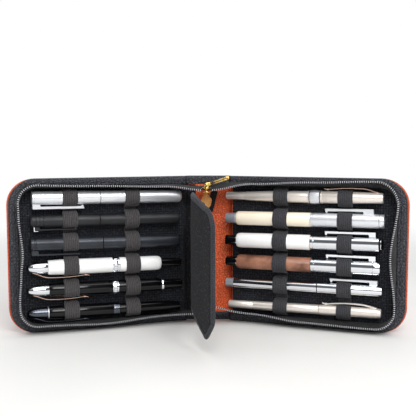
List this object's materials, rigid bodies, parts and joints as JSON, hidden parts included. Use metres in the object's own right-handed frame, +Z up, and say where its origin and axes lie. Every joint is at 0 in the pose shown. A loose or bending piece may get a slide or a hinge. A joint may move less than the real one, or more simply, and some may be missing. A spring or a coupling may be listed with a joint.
{
  "type": "pen case",
  "caption": "Zip-around leather pen case opened like a book on its long edge, pens held by elastic loops on both leaves, padded page between.",
  "frame": {"origin": "middle of the spine's standing edge, on the surface the case stands on", "axes": "+Z up along the spine, -Y out of the open front, +X to the right as seen from the open front"},
  "size_m": [0.3598, 0.1447, 0.1404],
  "materials": {
    "orange_leather": "satin",
    "grey_board": "matte",
    "white_foam": "matte",
    "black_facing": "matte",
    "lining_cloth": "matte",
    "zip_tape_cloth": "matte",
    "zip_teeth_metal": "satin",
    "zip_brass": "polished",
    "tan_leather": "satin",
    "divider_cloth": "matte",
    "binding_cloth": "matte",
    "elastic_ribbon": "matte",
    "satin_silver": "satin",
    "matte_black_lacquer": "matte",
    "graphite_metal": "satin",
    "white_lacquer": "gloss",
    "gloss_black_lacquer": "gloss",
    "dark_gunmetal": "satin",
    "cream_lacquer": "gloss",
    "bright_chrome": "polished",
    "brown_lacquer": "gloss",
    "warm_silver": "satin"
  },
  "bodies": {
    "spine": {"spine_outer_leather": "orange_leather", "spine_stiffener": "grey_board", "spine_inner_leather": "orange_leather", "spine_edge_facings": "black_facing", "left_fold_leather": "orange_leather", "right_fold_leather": "orange_leather", "left_zip_tape_end": "zip_tape_cloth", "right_zip_tape_end": "zip_tape_cloth", "zip_slider_body": "zip_brass", "zip_end_tab": "tan_leather", "zip_end_stop": "zip_brass", "divider_hinge_tape": "divider_cloth"},
    "zip_pull": {"zip_pull": "zip_brass"},
    "divider": {"divider_core": "grey_board", "divider_left_face": "divider_cloth", "divider_right_face": "divider_cloth", "divider_edge_binding": "binding_cloth"},
    "left_leaf": {"left_cover_leather": "orange_leather", "left_cover_board": "grey_board", "left_cover_foam": "white_foam", "left_lining": "lining_cloth", "left_edge_facing": "black_facing", "left_zip_tape": "zip_tape_cloth", "left_zip_teeth": "zip_teeth_metal", "left_inner_elastic": "elastic_ribbon", "left_outer_elastic": "elastic_ribbon"},
    "right_leaf": {"right_cover_leather": "orange_leather", "right_cover_board": "grey_board", "right_cover_foam": "white_foam", "right_lining": "lining_cloth", "right_edge_facing": "black_facing", "right_zip_tape": "zip_tape_cloth", "right_zip_teeth": "zip_teeth_metal", "right_inner_elastic": "elastic_ribbon", "right_outer_elastic": "elastic_ribbon"},
    "left_pen_1": {"left_pen_1": "satin_silver"},
    "left_pen_2": {"left_pen_2": "matte_black_lacquer"},
    "left_pen_3": {"left_pen_3": "graphite_metal"},
    "left_pen_4": {"left_pen_4": "white_lacquer"},
    "left_pen_5": {"left_pen_5": "gloss_black_lacquer"},
    "left_pen_6": {"left_pen_6": "dark_gunmetal"},
    "right_pen_1": {"right_pen_1": "satin_silver"},
    "right_pen_2": {"right_pen_2": "cream_lacquer"},
    "right_pen_3": {"right_pen_3": "white_lacquer"},
    "right_pen_4": {"right_pen_4": "brown_lacquer"},
    "right_pen_5": {"right_pen_5": "bright_chrome"},
    "right_pen_6": {"right_pen_6": "warm_silver"}
  },
  "joints": [
    {"name": "left_leaf_hinge", "type": "hinge", "parent": "spine", "child": "left_leaf", "pos_m": [-0.021, -0.0055, 0], "axis": [0, 0, 1], "range_deg": [-19, 71], "deforming": ["left_fold_leather", "left_zip_tape_end"]},
    {"name": "right_leaf_hinge", "type": "hinge", "parent": "spine", "child": "right_leaf", "pos_m": [0.021, -0.0055, 0], "axis": [0, 0, 1], "range_deg": [-71, 19], "deforming": ["right_fold_leather", "right_zip_tape_end"]},
    {"name": "divider_turn", "type": "hinge", "parent": "spine", "child": "divider", "pos_m": [-0.004, -0.0175, 0], "axis": [0, 0, 1], "range_deg": [-62, 60]},
    {"name": "zip_pull_swing", "type": "hinge", "parent": "spine", "child": "zip_pull", "pos_m": [-0.0015, -0.0225, 0.1328], "axis": [0, -1, 0], "range_deg": [0, 105]},
    {"name": "left_pen_1_slide", "type": "slide", "parent": "left_leaf", "child": "left_pen_1", "axis": [-0.9455, -0.3256, 0.0101], "range_m": [-0.006, 0.003]},
    {"name": "left_pen_2_slide", "type": "slide", "parent": "left_leaf", "child": "left_pen_2", "axis": [-0.9455, -0.3255, 0.0116], "range_m": [-0.006, 0.004]},
    {"name": "left_pen_3_slide", "type": "slide", "parent": "left_leaf", "child": "left_pen_3", "axis": [-0.9454, -0.3255, 0.0173], "range_m": [-0.006, 0.004]},
    {"name": "left_pen_4_slide", "type": "slide", "parent": "left_leaf", "child": "left_pen_4", "axis": [-0.9454, -0.3255, 0.0127], "range_m": [-0.006, 0.004]},
    {"name": "left_pen_5_slide", "type": "slide", "parent": "left_leaf", "child": "left_pen_5", "axis": [-0.9454, -0.3255, 0.0153], "range_m": [-0.006, 0.004]},
    {"name": "left_pen_6_slide", "type": "slide", "parent": "left_leaf", "child": "left_pen_6", "axis": [-0.9454, -0.3255, 0.0184], "range_m": [-0.006, 0.003]},
    {"name": "right_pen_1_slide", "type": "slide", "parent": "right_leaf", "child": "right_pen_1", "axis": [-0.9455, 0.3256, -0.0082], "range_m": [-0.004, 0.006]},
    {"name": "right_pen_2_slide", "type": "slide", "parent": "right_leaf", "child": "right_pen_2", "axis": [-0.9454, 0.3255, -0.0122], "range_m": [-0.004, 0.006]},
    {"name": "right_pen_3_slide", "type": "slide", "parent": "right_leaf", "child": "right_pen_3", "axis": [-0.9454, 0.3255, -0.0122], "range_m": [-0.004, 0.006]},
    {"name": "right_pen_4_slide", "type": "slide", "parent": "right_leaf", "child": "right_pen_4", "axis": [-0.9455, 0.3256, -0.0055], "range_m": [-0.004, 0.006]},
    {"name": "right_pen_5_slide", "type": "slide", "parent": "right_leaf", "child": "right_pen_5", "axis": [-0.9455, 0.3256, -0.0055], "range_m": [-0.004, 0.006]},
    {"name": "right_pen_6_slide", "type": "slide", "parent": "right_leaf", "child": "right_pen_6", "axis": [-0.9455, 0.3256, -0.0098], "range_m": [-0.004, 0.006]}
  ]
}
